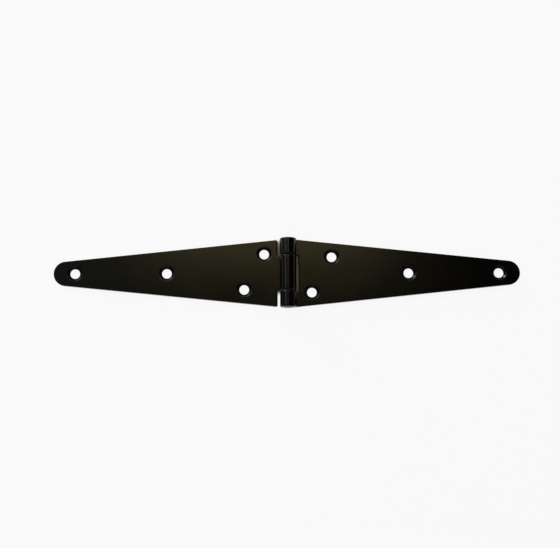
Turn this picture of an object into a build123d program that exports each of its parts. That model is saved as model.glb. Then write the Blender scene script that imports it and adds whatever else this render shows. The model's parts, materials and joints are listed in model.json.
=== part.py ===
"""Double strap hinge: two tapered steel leaves, rolled into knuckles round one riveted pin.

The hinge lies open and flat on its back. X runs along the straps, Y along the pin and Z up
through the faces that show. The origin is under the middle of the pin, on the back plane.
"""

from build123d import *
from math import acos, asin, atan2, degrees, hypot, tan
import os

# Leaf blank, in millimetres
leaf_reach = 101.6          # pin axis to the tip of a leaf
sheet = 1.8                 # thickness of the steel
tip_radius = 5.35           # round end of the strap
edge_break = 0.25           # sheared edges, broken by tumbling and paint
corner_radius = 0.7         # outer corners beside the barrel
root_radius = 0.55          # inner corners where a tongue leaves the strap

# Barrel
barrel_length = 30.4        # over the outer ends of the knuckles
centre_knuckle = 15.3       # length of the single middle knuckle
knuckle_gap = 0.25          # end play between neighbouring knuckles
strap_gap = 0.95            # from the barrel to the edge of the facing strap
seam_gap = 0.15             # from the end of the roll down to its own strap

# Pin
pin_diameter = 3.5
pin_clearance = 0.05        # all round, in the rolled knuckles
head_flare = 0.5            # how far the riveted ends spread past the shank, all round
head_crown = 0.25           # how far the riveted ends stand out of the barrel
head_clearance = 0.03       # between a riveted end and its seat

# Screw holes: a pair side by side near the barrel, then two on the centre line
hole_diameter = 4.2
sink_diameter = 6.3         # mouth of the countersink
sink_angle = 90
near_hole_reach = 10.35     # pin axis to the hole beside the barrel
near_hole_margin = 5.75     # that hole's centre to the strap's right side, across the strap
far_hole_reach = 19.1       # pin axis to the hole on the other side
far_hole_margin = 6.1       # that hole's centre to the strap's left side
middle_hole_reach = 52.7    # pin axis to the hole half way along
tip_hole_inset = 9.2        # tip of the leaf to its last hole

# Sizes that follow from those above
bore_radius = pin_diameter / 2 + pin_clearance
barrel_radius = bore_radius + sheet
barrel_end = barrel_length / 2
strap_edge = barrel_radius + strap_gap
tip_centre = leaf_reach - tip_radius
side_angle = acos(tip_radius / hypot(barrel_end, tip_centre)) - atan2(tip_centre, barrel_end)
head_radius = pin_diameter / 2 + head_flare
roll_past_side = degrees(asin(1 - (sheet + seam_gap) / barrel_radius))
roll_angle = 270 + roll_past_side
pin_axis = Axis((0, 0, barrel_radius), (0, 1, 0))
at_pin_axis = Pos(0, 0, barrel_radius)
flush = 0.01                # what lies nearer than this to the pin axis, along the strap, is at it


def half_width(reach):
    """Half the strap's width at a distance from the pin axis."""
    return barrel_end - reach * tan(side_angle)


def strap_plan():
    """Tapered strap from above: the hull of the barrel's line and the round tip."""
    barrel_line = Line((0, -barrel_end), (0, barrel_end))
    tip_circle = Pos(tip_centre, 0) * Rot(0, 0, 180) * Circle(tip_radius)
    return make_hull([barrel_line, *tip_circle.edges()])


def notch(low, high):
    """Cut from the pin axis to the strap's edge, from y low to y high, with round corners."""
    return Pos(0, (low + high) / 2) * RectangleRounded(2 * strap_edge, high - low, root_radius)


def centre_knuckle_plan():
    """Strap with one tongue in the middle, and its two outer corners rounded."""
    half = centre_knuckle / 2
    plan = strap_plan() - notch(half, barrel_length) - notch(-barrel_length, -half)
    corners = plan.vertices().sort_by(Axis.Y)
    return fillet([corners[0], corners[-1]], corner_radius)


def outer_knuckle_plan():
    """Strap with a tongue on each side of the middle knuckle's room."""
    half = centre_knuckle / 2 + knuckle_gap
    return strap_plan() - notch(-half, half)


def rolled_leaf(plan):
    """Plate of the given plan with broken edges, its tongues rolled up and over the pin axis."""
    plate = extrude(plan, sheet)
    rims = plate.edges().filter_by(Plane.XY).filter_by(lambda edge: edge.center().X > flush)
    plate = chamfer(rims, edge_break)
    tongue_ends = plate.faces().filter_by(lambda face: face.center().X < flush)
    rolls = [revolve(end, pin_axis, roll_angle) for end in tongue_ends]
    return plate + rolls - screw_holes()


def screw_holes():
    """The four countersunk holes of a leaf, their mouths on its front face."""
    hole = CounterSinkHole(hole_diameter / 2, sink_diameter / 2, sheet, sink_angle)
    places = [
        (near_hole_reach, near_hole_margin - half_width(near_hole_reach)),
        (far_hole_reach, half_width(far_hole_reach) - far_hole_margin),
        (middle_hole_reach, 0),
        (leaf_reach - tip_hole_inset, 0),
    ]
    return [Pos(x, y, sheet) * hole for x, y in places]


def riveted_pin():
    """Pin with both ends spread into their seats and crowned."""
    shank = pin_diameter / 2
    seat_start = barrel_end - head_flare
    crown_top = barrel_end + head_crown
    side = Polyline(
        (head_radius, -barrel_end), (shank, -seat_start), (shank, seat_start), (head_radius, barrel_end)
    )
    upper = TangentArc((0, crown_top), (head_radius, barrel_end), tangent=(1, 0))
    lower = TangentArc((0, -crown_top), (head_radius, -barrel_end), tangent=(1, 0))
    core = Line((0, -crown_top), (0, crown_top))
    return at_pin_axis * revolve(make_face([*side.edges(), upper, lower, core]), Axis.Y)


def pin_seats():
    """Cones at the two ends of the barrel, a little wider than the riveted ends of the pin."""
    mouth = head_radius + head_clearance
    outline = Polyline((0, barrel_end), (mouth, barrel_end), (0, barrel_end - mouth), close=True)
    seat = revolve(make_face(outline), Axis.Y)
    return at_pin_axis * (seat + mirror(seat, Plane.XZ))


leaf_outer_knuckles = rolled_leaf(outer_knuckle_plan()) - pin_seats()
leaf_centre_knuckle = Rot(0, 0, 180) * rolled_leaf(centre_knuckle_plan())
hinge_pin = riveted_pin()

os.makedirs("parts", exist_ok=True)
export_step(leaf_outer_knuckles, "parts/leaf_outer_knuckles.step")
export_step(leaf_centre_knuckle, "parts/leaf_centre_knuckle.step")
export_step(hinge_pin, "parts/hinge_pin.step")
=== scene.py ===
import json
import math
import bpy
import numpy as np
from mathutils import Matrix, Vector


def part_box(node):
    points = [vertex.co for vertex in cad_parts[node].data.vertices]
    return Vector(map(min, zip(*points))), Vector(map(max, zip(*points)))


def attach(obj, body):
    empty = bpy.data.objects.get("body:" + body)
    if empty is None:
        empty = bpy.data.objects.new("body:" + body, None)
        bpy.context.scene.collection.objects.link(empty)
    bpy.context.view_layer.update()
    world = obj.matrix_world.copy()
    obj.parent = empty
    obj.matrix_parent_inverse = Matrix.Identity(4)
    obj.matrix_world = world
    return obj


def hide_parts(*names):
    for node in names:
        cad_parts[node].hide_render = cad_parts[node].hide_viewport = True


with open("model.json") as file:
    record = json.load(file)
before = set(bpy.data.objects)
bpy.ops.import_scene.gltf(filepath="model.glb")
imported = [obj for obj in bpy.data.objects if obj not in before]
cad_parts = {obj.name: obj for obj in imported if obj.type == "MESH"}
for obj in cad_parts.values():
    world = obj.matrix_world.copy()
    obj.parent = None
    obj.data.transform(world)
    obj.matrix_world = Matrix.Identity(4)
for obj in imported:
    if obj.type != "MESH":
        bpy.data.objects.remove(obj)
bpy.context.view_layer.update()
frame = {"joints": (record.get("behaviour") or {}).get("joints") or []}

# the hinge and the camera are given in millimetres, the studio and the lamps in metres, as the meshes are
mm = 0.001
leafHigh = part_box("leaf_outer_knuckles")[1]
pinLow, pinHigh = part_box("hinge_pin")
leafReach = leafHigh.x / mm  # pin axis to the tip
barrelEnd = leafHigh.y / mm  # middle of the pin to the end of the barrel
barrelRadius = frame["joints"][0]["pos_m"][2] / mm  # height of the pin axis over the back plane
print("frame: reach", round(leafReach, 2), "barrel end", round(barrelEnd, 2), "radius", barrelRadius)

strap = {
    "sheet": 1.8,         # thickness of the steel
    "tipRadius": 5.35,    # round end
    "edgeRound": 0.3,     # sheared edge under its paint
    "cornerRound": 0.7,   # free corners beside the barrel
    "rootRound": 0.55,    # inner corner at the root of a tongue
    "rootEdge": 0.5,      # edge beside the barrel, rolled over by the die
    "barrelGap": 0.95,    # strap edge to the facing barrel
    "seamGap": 0.15,      # end of the roll to its own strap
    "pairCell": 33.0,     # pin axis to the end of the faces round the pair of holes
    "middleCell": (43.4, 62.0),  # start and end of those round the middle hole
    "tipCell": 84.0,      # start of those round the tip's hole
    "besideEdge": 0.015,  # share of a face that is its narrow row beside an edge
}
tongue = {
    "centreHalf": 7.65,   # half the length of the middle knuckle
    "endPlay": 0.25,      # between neighbouring knuckles
    "seatDepth": 0.48,    # how far the mouth of the bore opens for the pin's riveted head
    "endRound": 0.55,     # along the pin, at the outer ends of the barrel
    "endDepth": 0.75,     # the same, towards the pin
    "seamRound": 0.5,     # along the pin and towards it, where two knuckles meet
    "roundFrom": 3.0,     # where on the flat these start to grow from the plain edge
}
screwHole = {
    "radius": 2.1,
    "mouth": 3.15,        # countersink at the front face
    "lipRound": 0.45,     # paint and the punch soften the mouth
    "backRound": 0.1,     # edge of the hole at the back
    "coneFoot": 0.04,     # broken corner between the hole's wall and the cone
    "lipEnd": 0.4,        # share of the lip's thin paint where it runs out on the face
    "ringPower": 1.5,     # above 1 the rings of faces crowd towards the hole
    "nearReach": 10.35,   # pin axis to the hole beside the barrel
    "nearMargin": 5.75,   # that hole's centre to the low side of the strap
    "farReach": 19.1,     # pin axis to the hole on the other side
    "farMargin": 6.1,     # that hole's centre to the high side
    "middleReach": 52.7,  # the last two are on the centre line
    "tipReach": 92.4,
}
# how many faces each stretch is divided into
divisions = {
    "halfAcross": 14,     # half the strap's width
    "pairSide": 48,       # sides of the strap: past the pair of holes
    "shortSide": 8,       # plain stretch
    "middleSide": 32,     # past the middle hole
    "longSide": 18,       # plain stretch
    "tipSide": 18,        # past the tip's hole
    "tipArc": 40,         # round the tip
    "tongue": 12,         # across a tongue
    "notch": 14,          # edge of the strap beside the barrel
    "corner": 6,          # free corner of the strap
    "rootArc": 6,         # down a tongue: its root's corner
    "rootFlat": 8,        # from there to the roll
    "roll": 108,          # round the roll
    "fan": 6,             # corner of a tongue's free end
    "round": 6,           # each of the two rounds of an edge
    "lip": 4,             # up a hole: each of its two lips
    "wall": 3,            # straight wall
    "cone": 4,            # countersink
    "rings": 8,           # round a hole, on each face
}
welding = {
    "grid": 0.0005,       # points that round to the same place on it become one
    "flatWeight": 80,     # how strongly large faces hold the shading flat, of 100
}

sheet = strap["sheet"]
edge = strap["edgeRound"]
strapEdge = barrelRadius + strap["barrelGap"]
faceStart = strapEdge + strap["rootEdge"]  # where the flat face begins, inside its rounded edge
tipCentre = leafReach - strap["tipRadius"]
# the tapered sides lean by this angle: they are tangents to the tip from the ends of the barrel
tipBearing = math.atan2(tipCentre, barrelEnd)
sideAngle = math.acos(strap["tipRadius"] / math.hypot(barrelEnd, tipCentre)) - tipBearing
# three quarters of a turn, and on until the end of the roll comes down to its gap over the strap
rollAngle = 1.5 * math.pi + math.asin(1 - (sheet + strap["seamGap"]) / barrelRadius)
rollEnd = edge - barrelRadius * rollAngle  # s at the end of a tongue's face, inside its rounded edge


# 0 on the strap, growing smoothly to 1 where the roll begins
def rolled(s):
    run = np.clip(1 - np.asarray(s, float) / tongue["roundFrom"], 0, 1)
    return run * run * (3 - 2 * run)


# how far the face of a tongue stays back from the seam beside the next knuckle
def seamInset(s):
    return edge + (tongue["seamRound"] - edge) * rolled(s)


# half the strap's width at a distance s from the pin axis: a straight taper, parallel in the roll
def strapHalf(s):
    return barrelEnd - np.maximum(s, 0) * math.tan(sideAngle)


# half the width of the flat face: the strap's, less the rounded edge, which is wider at the barrel's ends
def faceHalf(s):
    inset = edge + (tongue["endRound"] - edge) * rolled(s)
    return strapHalf(s) - inset / math.cos(sideAngle)


holePlaces = {
    "near": (screwHole["nearReach"], screwHole["nearMargin"] - strapHalf(screwHole["nearReach"])),
    "far": (screwHole["farReach"], strapHalf(screwHole["farReach"]) - screwHole["farMargin"]),
    "middle": (screwHole["middleReach"], 0.0),
    "tip": (screwHole["tipReach"], 0.0),
}


# places from 0 to 1 across a face, evenly but for a narrow row beside each edge, which keeps the face flat
def acrossFace(count):
    narrow = strap["besideEdge"]
    return np.concatenate([[0], np.linspace(narrow, 1 - narrow, count - 1), [1]])


# a run is a stretch of the face's outline with its inward normals, counterclockwise from the front;
# this one follows a tapered side
def sideRun(places, side):
    places = np.asarray(places, float)
    lean = np.where(places > 0, sideAngle, 0.0)
    points = np.stack([places, side * faceHalf(places)], 1)
    return points, np.stack([-np.sin(lean), -side * np.cos(lean)], 1)


# a straight line, divided at shares of its length
def lineRun(start, end, shares):
    start, end = np.array(start, float), np.array(end, float)
    along = (end - start) / np.linalg.norm(end - start)
    points = start + (end - start) * shares[:, None]
    return points, np.tile([-along[1], along[0]], (len(shares), 1))


# an edge along the strap, with its distances w across it and one normal
def edgeRun(places, w, normal):
    return np.stack([places, w], 1), np.tile(np.array(normal, float), (len(places), 1))


# an arc about a centre: inward is towards the centre when it runs counterclockwise, else away from it
def arcRun(centre, radius, first, last, count):
    angle = np.radians(np.linspace(first, last, count + 1))
    out = np.stack([np.cos(angle), np.sin(angle)], 1)
    return np.array(centre, float) + radius * out, (-out if last > first else out)


# a corner where the outline turns about one point
def fanRun(point, first, last):
    angle = np.radians(np.linspace(first, last, divisions["fan"] + 1))
    return np.tile(np.array(point, float), (len(angle), 1)), -np.stack([np.cos(angle), np.sin(angle)], 1)


# the round tip, from one tapered side to the other
def tipRun():
    turn = 90 - math.degrees(sideAngle)
    return arcRun((tipCentre, 0), strap["tipRadius"] - edge, -turn, turn, divisions["tipArc"])


# the free end of a tongue, from one of its edges to the other
def tongueEnd(fromW, toW):
    return lineRun((rollEnd, fromW), (rollEnd, toW), acrossFace(divisions["tongue"]))


# the same run on the other side of the centre line
def flip(run):
    points, normals = run
    mirror = np.array([1, -1])
    return points[::-1] * mirror, normals[::-1] * mirror


# runs that follow each other, as one
def chain(*runs):
    return np.concatenate([r[0] for r in runs]), np.concatenate([r[1] for r in runs])


# the blank, rolled up: where s is above zero it lies flat, and below zero it turns about the pin axis by the
# angle of s over the barrel's radius; n is the height in the sheet from its back
def rollUp(s, w, n):
    turn = np.maximum(-s, 0) / barrelRadius
    reach = barrelRadius - n
    x = np.where(s > 0, s, -reach * np.sin(turn))
    z = np.where(s > 0, n, barrelRadius - reach * np.cos(turn))
    return np.stack([x, w, z], -1)


# a grid of points as quads, with a mask of how thin the paint is at each point; the fronts face along the
# cross product of the way down the rows and the way along the columns
def surface(points, mask, closed=False):
    rows, columns = points.shape[:2]
    index = np.arange(rows * columns).reshape(rows, columns)
    if closed:
        index = np.concatenate([index, index[:, :1]], 1)
    corners = [index[:-1, :-1], index[1:, :-1], index[1:, 1:], index[:-1, 1:]]
    return points.reshape(-1, 3), np.stack(corners, -1).reshape(-1, 4), mask.reshape(-1)


# a patch of the leaf, given on the flat blank and rolled up
def patch(s, w, n, mask=0.0, closed=False):
    s, w, n, mask = np.broadcast_arrays(s, w, n, mask)
    return surface(rollUp(s, w, n), mask, closed)


# both faces of a stretch of sheet: rows along s, columns along w
def sheetFaces(s, w):
    return [patch(s, w, sheet), patch(s[:, ::-1], w[:, ::-1], 0.0)]


# profile of a countersunk hole, radius and height with a mask: round at the back, wall, cone at 45 degrees,
# and a lip that is an eighth of a turn
def holeProfile():
    hole, mouth = screwHole["radius"], screwHole["mouth"]
    back, lip, foot = screwHole["backRound"], screwHole["lipRound"], screwHole["coneFoot"]
    quarter = np.linspace(0, math.pi / 2, divisions["lip"] + 1)
    eighth = np.linspace(0, math.pi / 4, divisions["lip"] + 1)
    coneStart = sheet - (mouth - hole)
    lipReach = lip * math.tan(math.pi / 8)  # how far the lip runs down the cone and out on the face
    backLip = np.stack([hole + back * (1 - np.sin(quarter)), back * (1 - np.cos(quarter))], 1)
    lipRadius = mouth + lipReach - lip * np.sin(eighth)
    lipHeight = sheet - lip * (1 - np.cos(eighth))
    frontLip = np.stack([lipRadius, lipHeight], 1)[::-1]
    wall = np.linspace(backLip[-1], [hole, coneStart - foot], divisions["wall"] + 1)[1:]
    cone = np.linspace([hole + foot, coneStart + foot], frontLip[0], divisions["cone"] + 1)[:-1]
    backMask = np.linspace(0, 1, len(backLip))
    frontMask = np.ones(len(frontLip))
    frontMask[-1] = screwHole["lipEnd"]
    mask = np.concatenate([backMask, np.zeros(len(wall) + len(cone)), frontMask])
    return np.concatenate([backLip, wall, cone, frontLip]), mask


# countersunk hole in its cell: from the cell's outline on the back in to the hole, up its profile and out
# to the outline on the front, in rings that change from the round of the hole to the outline
def holeCell(centre, outline):
    centre = np.array(centre)
    ray = outline - centre
    out = ray / np.linalg.norm(ray, axis=1, keepdims=True)
    profile, profileMask = holeProfile()
    rings = np.linspace(0, 1, divisions["rings"] + 1)[1:-1] ** screwHole["ringPower"]
    spread = np.concatenate([rings, [1 - strap["besideEdge"], 1]])
    share = spread[:, None, None]
    back = centre + out * profile[0, 0] * (1 - share) + ray * share
    front = centre + out * profile[-1, 0] * (1 - share) + ray * share
    grid = np.concatenate([back[::-1], centre + out * profile[:, :1, None], front])
    height = np.pad(profile[:, 1], len(spread), constant_values=(0, sheet))
    mask = np.pad(profileMask, len(spread))
    return patch(grid[..., 0], grid[..., 1], height[:, None], mask[:, None], closed=True)


# rounded edge of the sheet: quarter round, wall, quarter round, carried along the outline; the edge beside
# the barrel and the ends of the knuckles are rounder, and at the two ends of the barrel the front round is
# the mouth of the bore
def edgeStrip(run):
    points, normals = run
    turn = np.linspace(0, math.pi / 2, divisions["round"] + 1)[:, None]
    across = np.abs(normals[:, 1])  # 1 where the edge runs along the strap, 0 where it runs across
    atEnd = np.abs(points[:, 1]) > barrelEnd - 2 * tongue["endRound"]
    # how far the mouth of the bore opens into the sheet: a circle about the pin axis
    boreRadius = barrelRadius - sheet
    mouth = boreRadius + tongue["seatDepth"]
    opened = np.sqrt(np.maximum(0, mouth ** 2 - np.maximum(0, points[:, 0]) ** 2)) - boreRadius
    # what the edge beside the barrel and the ends of the knuckles add to the plain round
    beside = np.maximum(0, normals[:, 0]) * (points[:, 0] > 0) * (strap["rootEdge"] - edge)
    grown = across * rolled(points[:, 0])
    frontDepth = edge + np.maximum(0, opened - edge) * across * atEnd + beside
    width = edge + (np.where(atEnd, tongue["endRound"], tongue["seamRound"]) - edge) * grown + beside
    backDepth = edge + (np.where(atEnd, tongue["endDepth"], tongue["seamRound"]) - edge) * grown
    out = np.concatenate([width * np.sin(turn), width * np.sin(turn[::-1])])
    front = sheet - frontDepth * (1 - np.cos(turn))
    back = backDepth * (1 - np.cos(turn[::-1]))
    mask = np.sqrt(np.maximum(0, np.sin(np.concatenate([turn * 2, turn[::-1] * 2]))))
    s = points[:, 0] - out * normals[:, 0]
    w = points[:, 1] - out * normals[:, 1]
    return patch(s, w, np.concatenate([front, back]), mask, closed=True)


# one mesh of several patches: points that meet are welded, and faces that lost a corner become triangles
def weld(name, patches, turn=None):
    starts = np.cumsum([0] + [len(p[0]) for p in patches])[:-1]
    points = np.concatenate([p[0] for p in patches])
    faces = np.concatenate([p[1] + start for p, start in zip(patches, starts)])
    mask = np.concatenate([p[2] for p in patches])
    places = np.round(points / welding["grid"]).astype(np.int64)
    first, same = np.unique(places, axis=0, return_index=True, return_inverse=True)[1:]
    faces = same.reshape(-1)[faces]
    points, mask = points[first] * mm, mask[first]
    if turn is not None:
        points = points @ turn.T
    lost = [faces[:, k] == faces[:, (k + 1) % 4] for k in range(4)]
    whole = faces[~np.any(lost, axis=0)]
    triangles = [np.delete(faces[lost[k] & (np.sum(lost, axis=0) == 1)], k, axis=1) for k in range(4)]
    mesh = bpy.data.meshes.new(name)
    mesh.from_pydata(points.tolist(), [], whole.tolist() + np.concatenate(triangles).tolist())
    mesh.attributes.new("edgeMask", "FLOAT", "POINT").data.foreach_set("value", mask.astype(np.float32))
    mesh.polygons.foreach_set("use_smooth", np.ones(len(mesh.polygons), bool))
    mesh.validate()
    mesh.update()
    piece = bpy.data.objects.new(name, mesh)
    bpy.context.scene.collection.objects.link(piece)
    hold = piece.modifiers.new("flatFacesStayFlat", "WEIGHTED_NORMAL")
    hold.weight = welding["flatWeight"]
    hold.keep_sharp = False
    print("piece", name, len(mesh.vertices), "points", len(mesh.polygons), "faces")
    return piece


# distances from the pin axis at which the long sides are divided
def sidePlaces(start):
    tipTangent = tipCentre + (strap["tipRadius"] - edge) * math.sin(sideAngle)
    marks = [start, strap["pairCell"], *strap["middleCell"], strap["tipCell"], tipTangent]
    counts = [divisions[k] for k in ("pairSide", "shortSide", "middleSide", "longSide", "tipSide")]
    return [np.linspace(a, b, n + 1) for a, b, n in zip(marks, marks[1:], counts)]


# a leaf's outline: one side, the tip, the other side, then the runs of its root
def leafOutline(places, *rootRuns):
    lowSide = sideRun(np.concatenate([p[:-1] for p in places] + [places[-1][-1:]]), -1)
    return chain(lowSide, tipRun(), flip(lowSide), *rootRuns)


# outline of a cell: lines that follow each other, each without its last point
def loop(*lines):
    return np.concatenate([line[:-1] for line in lines])


# faces of the strap beyond its root: two hole cells side by side, a plain stretch, the middle hole's cell,
# a plain stretch and the tip's cell
def strapFaces(root, corners, places):
    half = divisions["halfAcross"]
    share = 2 * acrossFace(2 * half) - 1
    cuts = (strap["pairCell"], *strap["middleCell"], strap["tipCell"])
    ends = [np.stack([np.full_like(share, s), share * faceHalf(s)], 1) for s in cuts]
    split = np.linspace([faceStart, 0], [strap["pairCell"], 0], divisions["pairSide"] + 1)
    # the stretches of the two sides and the ends between them are both counted from the root
    low, high = [[sideRun(p, side)[0] for p in places] for side in (-1, 1)]
    lowCorner, highCorner = corners
    middle = len(root) // 2  # the root runs from high to low, with this point on the centre line
    cells = {
        "near": loop(root[middle:], *lowCorner, low[0], ends[0][:half + 1], split[::-1]),
        "far": loop(split, ends[0][half:], high[0][::-1], *highCorner, root[:middle + 1]),
        "middle": loop(low[2], ends[2], high[2][::-1], ends[1][::-1]),
        "tip": loop(low[4], tipRun()[0], high[4][::-1], ends[3][::-1]),
    }
    patches = [holeCell(holePlaces[name], outline) for name, outline in cells.items()]
    for plain in (places[1], places[3]):
        s = np.repeat(plain[:, None], len(share), 1)
        patches += sheetFaces(s, share * faceHalf(s))
    return patches


# rows down a tongue: round its root's corner, along the flat, then round the roll
rootRadius = strap["rootRound"] + np.array([strap["rootEdge"], edge])  # along the strap, across it
rootCentre = strapEdge - strap["rootRound"]
rootTurn = np.radians(np.linspace(0, 90, divisions["rootArc"] + 1))
tonguePlaces = np.concatenate([
    rootCentre + rootRadius[0] * np.cos(rootTurn),
    np.linspace(rootCentre, 0, divisions["rootFlat"] + 1)[1:],
    np.linspace(0, rollEnd, divisions["roll"] + 1)[1:],
])
# how far the root's corner bends aside at each of these rows: a quarter of an ellipse
rootShare = (tonguePlaces - rootCentre) / rootRadius[0]
rootBend = rootRadius[1] * np.sqrt(np.maximum(0, 1 - rootShare ** 2))


# a tongue between two edges across, from the strap's face to the end of the roll
def tongueFaces(low, high):
    count = divisions["tongue"]
    s = np.repeat(tonguePlaces[:, None], count + 1, 1)
    w = low[:, None] + (high - low)[:, None] * acrossFace(count)
    return sheetFaces(s[::-1], w[::-1])


# leaf with two outer tongues: the tapered sides run straight on into the outer ends of the knuckles
def outerLeaf():
    inner = tongue["centreHalf"] + tongue["endPlay"]
    notchHalf = inner - strap["rootRound"]
    innerEdge = np.where(tonguePlaces > rootCentre, notchHalf + rootBend, inner + seamInset(tonguePlaces))
    outerEdge = faceHalf(tonguePlaces)
    places = sidePlaces(faceStart)
    notchLine = np.linspace(notchHalf, 0, divisions["notch"] + 1)
    tongueLine = faceHalf(faceStart) + (notchHalf - faceHalf(faceStart)) * acrossFace(divisions["tongue"])
    highRoot = np.concatenate([tongueLine[:-1], notchLine])
    rootW = np.concatenate([highRoot, -highRoot[::-1][1:]])
    root = np.stack([np.full_like(rootW, faceStart), rootW], 1)
    patches = strapFaces(root, ([], []), places)
    patches += tongueFaces(innerEdge, outerEdge) + tongueFaces(-outerEdge, -innerEdge)
    pastRoot = divisions["rootArc"]
    highTongue = chain(
        sideRun(tonguePlaces, 1),
        fanRun((rollEnd, outerEdge[-1]), 90, 180),
        tongueEnd(outerEdge[-1], innerEdge[-1]),
        fanRun((rollEnd, innerEdge[-1]), 180, 270),
        edgeRun(tonguePlaces[pastRoot:][::-1], innerEdge[pastRoot:][::-1], (0, 1)),
        arcRun((rootCentre, notchHalf), rootRadius, 90, 0, pastRoot),
    )
    notchShares = np.linspace(0, 1, 2 * divisions["notch"] + 1)
    notch = lineRun((faceStart, notchHalf), (faceStart, -notchHalf), notchShares)
    outline = leafOutline(places, highTongue, notch, flip(highTongue))
    return weld("outer_leaf", patches + [edgeStrip(outline)])


# leaf with one tongue in the middle: its strap ends in two free corners beside the barrel; it is made on
# the right and turned half round to the left
def centreLeaf():
    inner = tongue["centreHalf"]
    rootHalf = inner + strap["rootRound"]
    sideEdge = np.where(tonguePlaces > rootCentre, rootHalf - rootBend, inner - seamInset(tonguePlaces))
    # the corner's centre lies one radius inside the strap's edge and inside the tapered side
    cornerInset = strap["cornerRound"] - edge
    cornerS = faceStart + cornerInset
    cornerW = float(faceHalf(cornerS)) - cornerInset / math.cos(sideAngle)
    cornerFrom = 90 - math.degrees(sideAngle)
    highCorner = arcRun((cornerS, cornerW), cornerInset, cornerFrom, 180, divisions["corner"])
    lowCorner = flip(highCorner)
    places = sidePlaces(highCorner[0][0, 0])
    edgeLine = np.linspace(cornerW, rootHalf, divisions["notch"] + 1)
    tongueLine = rootHalf * (1 - 2 * acrossFace(divisions["tongue"]))
    rootW = np.concatenate([edgeLine[:-1], tongueLine, -edgeLine[::-1][1:]])
    root = np.stack([np.full_like(rootW, faceStart), rootW], 1)
    patches = strapFaces(root, ([lowCorner[0]], [highCorner[0]]), places)
    patches += tongueFaces(-sideEdge, sideEdge)
    pastRoot = divisions["rootArc"]
    edgeShares = np.linspace(0, 1, divisions["notch"] + 1)
    highEdge = chain(
        highCorner,
        lineRun((faceStart, cornerW), (faceStart, rootHalf), edgeShares),
        arcRun((rootCentre, rootHalf), rootRadius, 0, -90, pastRoot),
        edgeRun(tonguePlaces[pastRoot:], sideEdge[pastRoot:], (0, -1)),
        fanRun((rollEnd, sideEdge[-1]), 90, 180),
    )
    end = tongueEnd(sideEdge[-1], -sideEdge[-1])
    outline = leafOutline(places, highEdge, end, flip(highEdge))
    halfRound = np.diag([-1, -1, 1])
    return weld("centre_leaf", patches + [edgeStrip(outline)], turn=halfRound)


outer = outerLeaf()
centre = centreLeaf()

pinHead = {
    "shank": 1.75,        # radius in the bore
    "crownPower": 1.4,    # 1 is half an ellipse, more lowers the crown towards its rim
    "hammered": 0.22,     # share of the crown that the hammer took off in flats
    "blows": 5,           # flats round the head
    "uneven": 2.0,        # how unevenly they are spread, in radians
    "otherTurn": 7,       # faces by which the other head's flats are turned
    "rimPower": 6,        # the higher, the closer to the crown's rim the thin paint stays
    "flarePaint": 0.6,    # share of the thin paint where the flare begins
    "crown": 10,          # faces from the middle of the crown to its rim
    "flare": 8,           # faces down the flare
    "around": 56,
}


# riveted pin: a profile of radius along the pin, turned about the pin axis; each head is a low crown with
# hammer flats, then a flare into its seat, then the shank
def rivetedPin():
    headRadius = (pinHigh.x - pinLow.x) / 2 / mm
    crown = pinHigh.y / mm - barrelEnd
    shank = pinHead["shank"]
    outward = np.linspace(0, 1, pinHead["crown"] + 1)
    turn = np.linspace(math.pi / 2, 0, pinHead["flare"] + 1)[1:]
    headRun = headRadius * np.sin(outward * math.pi / 2)
    headHeight = barrelEnd + crown * np.cos(outward * math.pi / 2) ** pinHead["crownPower"]
    flareRun = shank + (headRadius - shank) * (1 - np.cos(turn))
    flareHeight = barrelEnd - edge * (1 - np.sin(turn))
    radius = np.concatenate([headRun, flareRun])
    height = np.concatenate([headHeight, flareHeight])
    rim = np.concatenate([outward ** pinHead["rimPower"], np.linspace(pinHead["flarePaint"], 0, len(turn))])
    angle = np.linspace(0, 2 * math.pi, pinHead["around"], endpoint=False)
    blow = 0.5 + 0.5 * np.cos(pinHead["blows"] * angle + pinHead["uneven"] * np.sin(angle))
    flats = (radius / headRadius)[:, None] * blow
    standing = np.maximum(0, height - barrelEnd)[:, None]
    high = height[:, None] - standing * pinHead["hammered"] * flats
    radii = np.concatenate([radius, radius[::-1]])[:, None] * np.ones(len(angle))
    y = np.concatenate([-high, np.roll(high, pinHead["otherTurn"], axis=1)[::-1]])
    mask = np.concatenate([rim, rim[::-1]])[:, None] * np.ones(len(angle))
    points = np.stack([radii * np.cos(angle), y, barrelRadius + radii * np.sin(angle)], -1)
    return weld("riveted_pin", [surface(points, mask, closed=True)])


pin = rivetedPin()

for piece, body, node, finish in (
    (outer, "fixed_leaf", "leaf_outer_knuckles", "leaf_paint"),
    (pin, "fixed_leaf", "hinge_pin", "pin_paint"),
    (centre, "swinging_leaf", "leaf_centre_knuckle", "leaf_paint"),
):
    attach(piece, body)
    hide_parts(node)
print("pieces ride on their bodies")


# a node with its values set by socket name or number
def addNode(tree, kind, values=None, **settings):
    node = tree.nodes.new(kind)
    for name, value in settings.items():
        setattr(node, name, value)
    for socket, value in (values or {}).items():
        node.inputs[socket].default_value = value
    return node


# a number, a colour or another node's output into a socket
def feed(tree, socket, value):
    if isinstance(value, bpy.types.NodeSocket):
        tree.links.new(value, socket)
    elif value is not None:
        socket.default_value = value


# smooth step from 0 to 1 between two values
def ramp(tree, value, ends):
    node = addNode(tree, "ShaderNodeMapRange", {"From Min": ends[0], "From Max": ends[1]},
                   interpolation_type="SMOOTHSTEP")
    feed(tree, node.inputs["Value"], value)
    return node.outputs["Result"]


# arithmetic on numbers or outputs
def reckon(tree, operation, first, second=None, third=None):
    node = addNode(tree, "ShaderNodeMath", operation=operation)
    for socket, value in zip(node.inputs, (first, second, third)):
        feed(tree, socket, value)
    return node.outputs[0]


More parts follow.
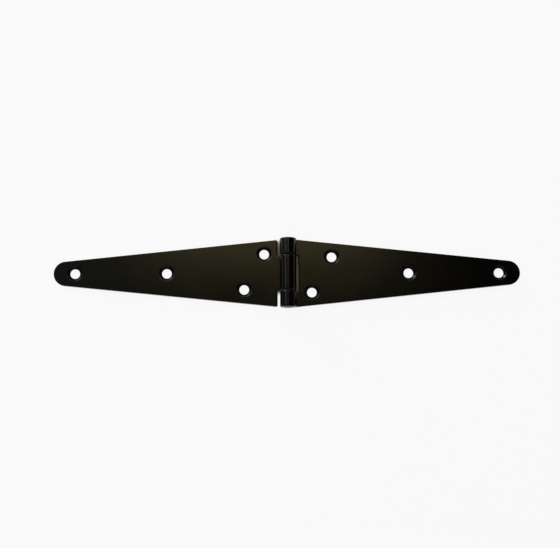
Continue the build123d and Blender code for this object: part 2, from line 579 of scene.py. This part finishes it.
# mix of two colours by a factor
def tint(tree, factor, first, second):
    node = addNode(tree, "ShaderNodeMix", data_type="RGBA")
    for number, value in ((0, factor), (6, first), (7, second)):  # the sockets that mix colours
        feed(tree, node.inputs[number], value)
    return node.outputs[2]


# scales are in features to a metre
film = {
    "cloudScale": 55,
    "cloudDetail": 3,
    "cloudGloss": 0.10,   # spread of the roughness from cloud to cloud
    "peelScale": 1300,
    "peelDetail": 1.5,
    "scuffScale": 420,
    "scuffDetail": 3,
    "scuffGrain": 0.6,    # roughness of the noise
    "scuffGloss": 0.05,   # most that a scuff adds to the roughness
    "nibScale": 260,
    "nibRadius": 0.13,    # as a share of the space between nibs
    "nibSlope": 9,
    "nibHeight": 0.6,     # as a share of the orange peel's height
}


# black paint as a film: clouds in its colour and gloss, a fine orange peel, nibs of dust under it, and thin
# paint along the edges
def paintFilmGroup():
    group = bpy.data.node_groups.new("paintFilm", "ShaderNodeTree")
    colour, number = "NodeSocketColor", "NodeSocketFloat"
    for side, sockets in (
        ("INPUT", {"Paint": colour, "Thin": colour, "Edge": number, "Roughness": number, "Clouds": number}),
        ("OUTPUT", {"Color": colour, "Roughness": number, "Height": number}),
    ):
        for name, kind in sockets.items():
            group.interface.new_socket(name, in_out=side, socket_type=kind)
    given = group.nodes.new("NodeGroupInput").outputs
    result = group.nodes.new("NodeGroupOutput").inputs
    place = group.nodes.new("ShaderNodeTexCoord").outputs["Object"]

    def noise(scale, detail, grain=0.5):
        node = addNode(group, "ShaderNodeTexNoise", {"Scale": scale, "Detail": detail, "Roughness": grain})
        feed(group, node.inputs["Vector"], place)
        return node.outputs["Fac"]

    clouds = noise(film["cloudScale"], film["cloudDetail"])
    peel = noise(film["peelScale"], film["peelDetail"])
    scuffs = noise(film["scuffScale"], film["scuffDetail"], film["scuffGrain"])
    nibs = addNode(group, "ShaderNodeTexVoronoi", {"Scale": film["nibScale"]})
    feed(group, nibs.inputs["Vector"], place)
    nibRise = reckon(group, "SUBTRACT", film["nibRadius"], nibs.outputs["Distance"])
    nibTop = reckon(group, "MULTIPLY", nibRise, film["nibSlope"])
    nibTop.node.use_clamp = True
    cloudShare = reckon(group, "MULTIPLY", clouds, given["Clouds"])
    rubbed = reckon(group, "MULTIPLY", given["Edge"], scuffs)
    coat = tint(group, cloudShare, given["Paint"], given["Thin"])
    glossiest = reckon(group, "SUBTRACT", given["Roughness"], film["cloudGloss"] / 2)
    clouded = reckon(group, "MULTIPLY_ADD", clouds, film["cloudGloss"], glossiest)
    feed(group, result["Color"], tint(group, rubbed, coat, given["Thin"]))
    feed(group, result["Roughness"], reckon(group, "MULTIPLY_ADD", scuffs, film["scuffGloss"], clouded))
    feed(group, result["Height"], reckon(group, "MULTIPLY_ADD", nibTop, film["nibHeight"], peel))
    return group


paintFilm = paintFilmGroup()

leafPaint = {
    "paint": (0.0015, 0.0015, 0.0013, 1),  # full coat
    "thin": (0.0034, 0.0030, 0.0025, 1),   # where the coat is thin
    "roughness": 0.15,
    "clouds": 0.3,        # how far the clouds go from the full coat to the thin one
    "specular": 0.3,
    "peel": 0.000004,     # height of the orange peel in metres
}
pinPaint = {
    "paint": (0.0011, 0.0011, 0.0012, 1),
    "thin": (0.0050, 0.0048, 0.0045, 1),
    "roughness": 0.20,
    "clouds": 0.5,
    "specular": 0.3,
    "peel": 0.000006,
}


# satin black paint: the film's colour, roughness and height on one Principled shader
def satinBlack(name, look):
    material = bpy.data.materials.new(name)
    material.use_nodes = True
    tree = material.node_tree
    shader = tree.nodes["Principled BSDF"]
    shader.inputs["Specular IOR Level"].default_value = look["specular"]
    coat = addNode(tree, "ShaderNodeGroup", node_tree=paintFilm)
    for socket in ("Paint", "Thin", "Roughness", "Clouds"):
        coat.inputs[socket].default_value = look[socket.lower()]
    mask = addNode(tree, "ShaderNodeAttribute", attribute_name="edgeMask")
    bump = addNode(tree, "ShaderNodeBump", {"Strength": 1.0, "Distance": look["peel"]})
    feed(tree, coat.inputs["Edge"], mask.outputs["Fac"])
    feed(tree, shader.inputs["Base Color"], coat.outputs["Color"])
    feed(tree, shader.inputs["Roughness"], coat.outputs["Roughness"])
    feed(tree, bump.inputs["Height"], coat.outputs["Height"])
    feed(tree, shader.inputs["Normal"], bump.outputs["Normal"])
    return material


leafBlack = satinBlack("satin_black_leaf", leafPaint)
pinBlack = satinBlack("satin_black_pin", pinPaint)
for piece, material in ((outer, leafBlack), (centre, leafBlack), (pin, pinBlack)):
    piece.data.materials.append(material)
print("paint is on")

studio = {
    "floorBelow": 0.0002,         # under the hinge's back, so that the two don't meet
    "floorReach": 2.4,
    "floorEase": 0.6,             # how much steeper than even the radius grows at first
    "rimStart": 0.45,             # share of the run at which the floor begins to turn up
    "rimHeight": 1.6,
    "outward": 39,                # faces from the middle to the rim
    "around": 96,
    "white": (1, 1, 1, 1),
    "floorColour": (0.93, 0.93, 0.93, 1),
    "rimColour": (0.05, 0.05, 0.051, 1),
    "greyColour": (0.30, 0.30, 0.305, 1),
    "rimFrom": (0.03, 0.15),      # heights between which the floor goes from pale to the rim's colours
    "greyFrom": (0.34, 0.69),     # share of y in the distance between which the rim goes from dark to grey
    "greyAbove": (0.10, 0.35),    # heights between which it does so, before the tilt
    "greyTilt": 0.14,             # how much lower they are behind, and higher in front, for each metre of y
    "floorGlow": 0.91,            # share of the floor that is plain white to the camera and to reflections
    # beside the barrel the floor doesn't glow and is darker and olive: its real shadow there with painted
    # shade over it, which ends between these places
    "shadeAcross": (0.0048, 0.0065),  # on each side, from the pin axis
    "shadeFront": (-0.0075, -0.0100),
    "shadeBack": (0.0140, 0.0155),
    # painted shade: the floor's darker, olive colour in the gaps beside the barrel
    "shadeColour": (0.80, 0.77, 0.68, 1),
    "world": (0.010, 0.010, 0.011, 1),
}


# floor material: pale near the hinge but for painted shade beside the barrel, dark on the rim at the sides
# and grey on the rim behind and in front; what the camera, reflections and glass see of it is mostly its
# plain colour, and the rest is matt and lit
def floorMaterial():
    material = bpy.data.materials.new("pale_floor")
    material.use_nodes = True
    tree = material.node_tree
    tree.nodes.remove(tree.nodes["Principled BSDF"])
    place = addNode(tree, "ShaderNodeTexCoord").outputs["Object"]
    apart = addNode(tree, "ShaderNodeSeparateXYZ")
    feed(tree, apart.inputs[0], place)
    x, y, z = apart.outputs
    distance = addNode(tree, "ShaderNodeVectorMath", operation="LENGTH")
    feed(tree, distance.inputs[0], place)
    # 0 in the painted shade beside the barrel, 1 elsewhere
    across = ramp(tree, reckon(tree, "ABSOLUTE", x), studio["shadeAcross"])
    front = ramp(tree, y, studio["shadeFront"])
    back = ramp(tree, y, studio["shadeBack"])
    lit = reckon(tree, "MAXIMUM", across, reckon(tree, "MAXIMUM", front, back))
    lean = reckon(tree, "DIVIDE", reckon(tree, "ABSOLUTE", y), distance.outputs["Value"])
    raised = reckon(tree, "MULTIPLY_ADD", y, studio["greyTilt"], z)
    greyRound = ramp(tree, lean, studio["greyFrom"])
    grey = reckon(tree, "MULTIPLY", greyRound, ramp(tree, raised, studio["greyAbove"]))
    fade = ramp(tree, z, studio["rimFrom"])
    far = tint(tree, grey, studio["rimColour"], studio["greyColour"])
    # painted shade beside the barrel, the plain floor colour elsewhere
    near = tint(tree, lit, studio["shadeColour"], studio["floorColour"])
    matt = addNode(tree, "ShaderNodeBsdfDiffuse")
    feed(tree, matt.inputs["Color"], tint(tree, fade, near, far))
    glow = addNode(tree, "ShaderNodeEmission", {"Strength": 1.0})
    feed(tree, glow.inputs["Color"], tint(tree, fade, studio["white"], far))
    path = addNode(tree, "ShaderNodeLightPath").outputs
    mirrored = reckon(tree, "MAXIMUM", path["Is Glossy Ray"], path["Is Transmission Ray"])
    seen = reckon(tree, "MAXIMUM", path["Is Camera Ray"], mirrored)
    share = reckon(tree, "MULTIPLY", reckon(tree, "MULTIPLY", seen, lit), studio["floorGlow"])
    mix = addNode(tree, "ShaderNodeMixShader")
    for socket, output in zip(mix.inputs, (share, matt.outputs[0], glow.outputs[0])):
        feed(tree, socket, output)
    feed(tree, tree.nodes["Material Output"].inputs["Surface"], mix.outputs[0])
    return material


# floor: a disc that turns up into a rim, turned about Z; along one run the radius grows as a cubic that
# slows down, and the height as a square from where the rim starts
def paleFloor():
    run = np.linspace(0, 1, studio["outward"] + 1)
    angle = np.linspace(0, 2 * math.pi, studio["around"], endpoint=False)
    ease, start = studio["floorEase"], studio["rimStart"]
    radius = studio["floorReach"] * ((1 + ease) * run - ease * run ** 3)
    height = studio["rimHeight"] * (np.maximum(0, run - start) / (1 - start)) ** 2 - studio["floorBelow"]
    x = radius[:, None] * np.cos(angle)
    y = radius[:, None] * np.sin(angle)
    points = np.stack([x, y, np.broadcast_to(height[:, None], x.shape)], -1)
    floor = weld("pale_floor", [surface(points / mm, np.zeros(x.shape), closed=True)])
    floor.data.materials.append(floorMaterial())


paleFloor()

# lamps: where each stands from the hinge, its size, colour and power in watts; all of them face the hinge
lamps = {
    "key": {  # large and soft, from behind on the left: barrel, rims of the holes and floor
        "place": (-1.03, 1.03, 1.02), "size": (1.2, 1.2), "colour": (0.97, 0.99, 1.0), "power": 14,
    },
    "back": {  # fill from behind
        "place": (-0.20, 1.50, 0.95), "size": (1.8, 0.8), "colour": (1.0, 1.0, 1.0), "power": 6,
    },
    "front": {  # fill from the front
        "place": (0.05, -1.45, 1.10), "size": (2.0, 0.9), "colour": (1.0, 1.0, 1.0), "power": 5,
    },
    "ceiling": {  # warm sheen on both straps, strongest beside the barrel
        "place": (0.006, 0.39, 1.45), "size": (0.42, 0.25), "colour": (1.0, 0.88, 0.44), "power": 0.80,
    },
    "left": {  # stripe down the barrel
        "place": (-1.05, 0.25, 1.25), "size": (0.34, 0.9), "colour": (0.95, 1.0, 1.0), "power": 0.62,
    },
    "window": {  # low, for the glints in the countersinks
        "place": (-0.90, 1.20, 0.22), "size": (0.7, 0.2), "colour": (0.93, 0.96, 1.0), "power": 7.0,
    },
    "far": {  # faint cool sheen near the left tip
        "place": (-0.45, 0.22, 1.45), "size": (0.26, 0.40), "colour": (0.90, 0.95, 1.0), "power": 0.085,
    },
}


# a rectangular lamp that lights the hinge and stays out of the camera's sight
def hangLamp(name, look):
    lamp = bpy.data.lights.new(name, "AREA")
    lamp.shape = "RECTANGLE"
    lamp.size, lamp.size_y = look["size"]
    lamp.color = look["colour"]
    lamp.energy = look["power"]
    stand = bpy.data.objects.new(name, lamp)
    stand.location = look["place"]
    stand.rotation_euler = (-Vector(look["place"])).to_track_quat("-Z", "Y").to_euler()
    stand.visible_camera = False
    bpy.context.scene.collection.objects.link(stand)


for name, look in lamps.items():
    hangLamp(name, look)

world = bpy.data.worlds.new("dim_room")
bpy.context.scene.world = world
world.use_nodes = True
world.node_tree.nodes["Background"].inputs["Color"].default_value = studio["world"]

camera = {
    "place": (-16.65, -75.20, 496.4),
    "yaw": -1.521,        # turns are in degrees
    "pitch": 8.6,
    "roll": -0.375,
    "lens": 73.93,
    "sensor": 36,         # width of the sensor that the lens is given for
    "clipStart": 10,
}


# the camera looks down from nearly overhead: roll about its own view, then pitch, then yaw
def setCamera():
    data = bpy.data.cameras.new("photo_camera")
    data.sensor_width = camera["sensor"]
    data.sensor_fit = "HORIZONTAL"
    data.lens = camera["lens"]
    data.clip_start = camera["clipStart"] * mm
    turns = [Matrix.Rotation(math.radians(camera[k]), 4, axis)
             for k, axis in (("yaw", "Y"), ("pitch", "X"), ("roll", "Z"))]
    holder = bpy.data.objects.new("photo_camera", data)
    holder.matrix_world = Matrix.Translation(Vector(camera["place"]) * mm) @ turns[0] @ turns[1] @ turns[2]
    bpy.context.scene.collection.objects.link(holder)
    bpy.context.scene.camera = holder


setCamera()
bpy.context.scene.view_settings.view_transform = "Standard"
print("stage, lamps and camera stand")
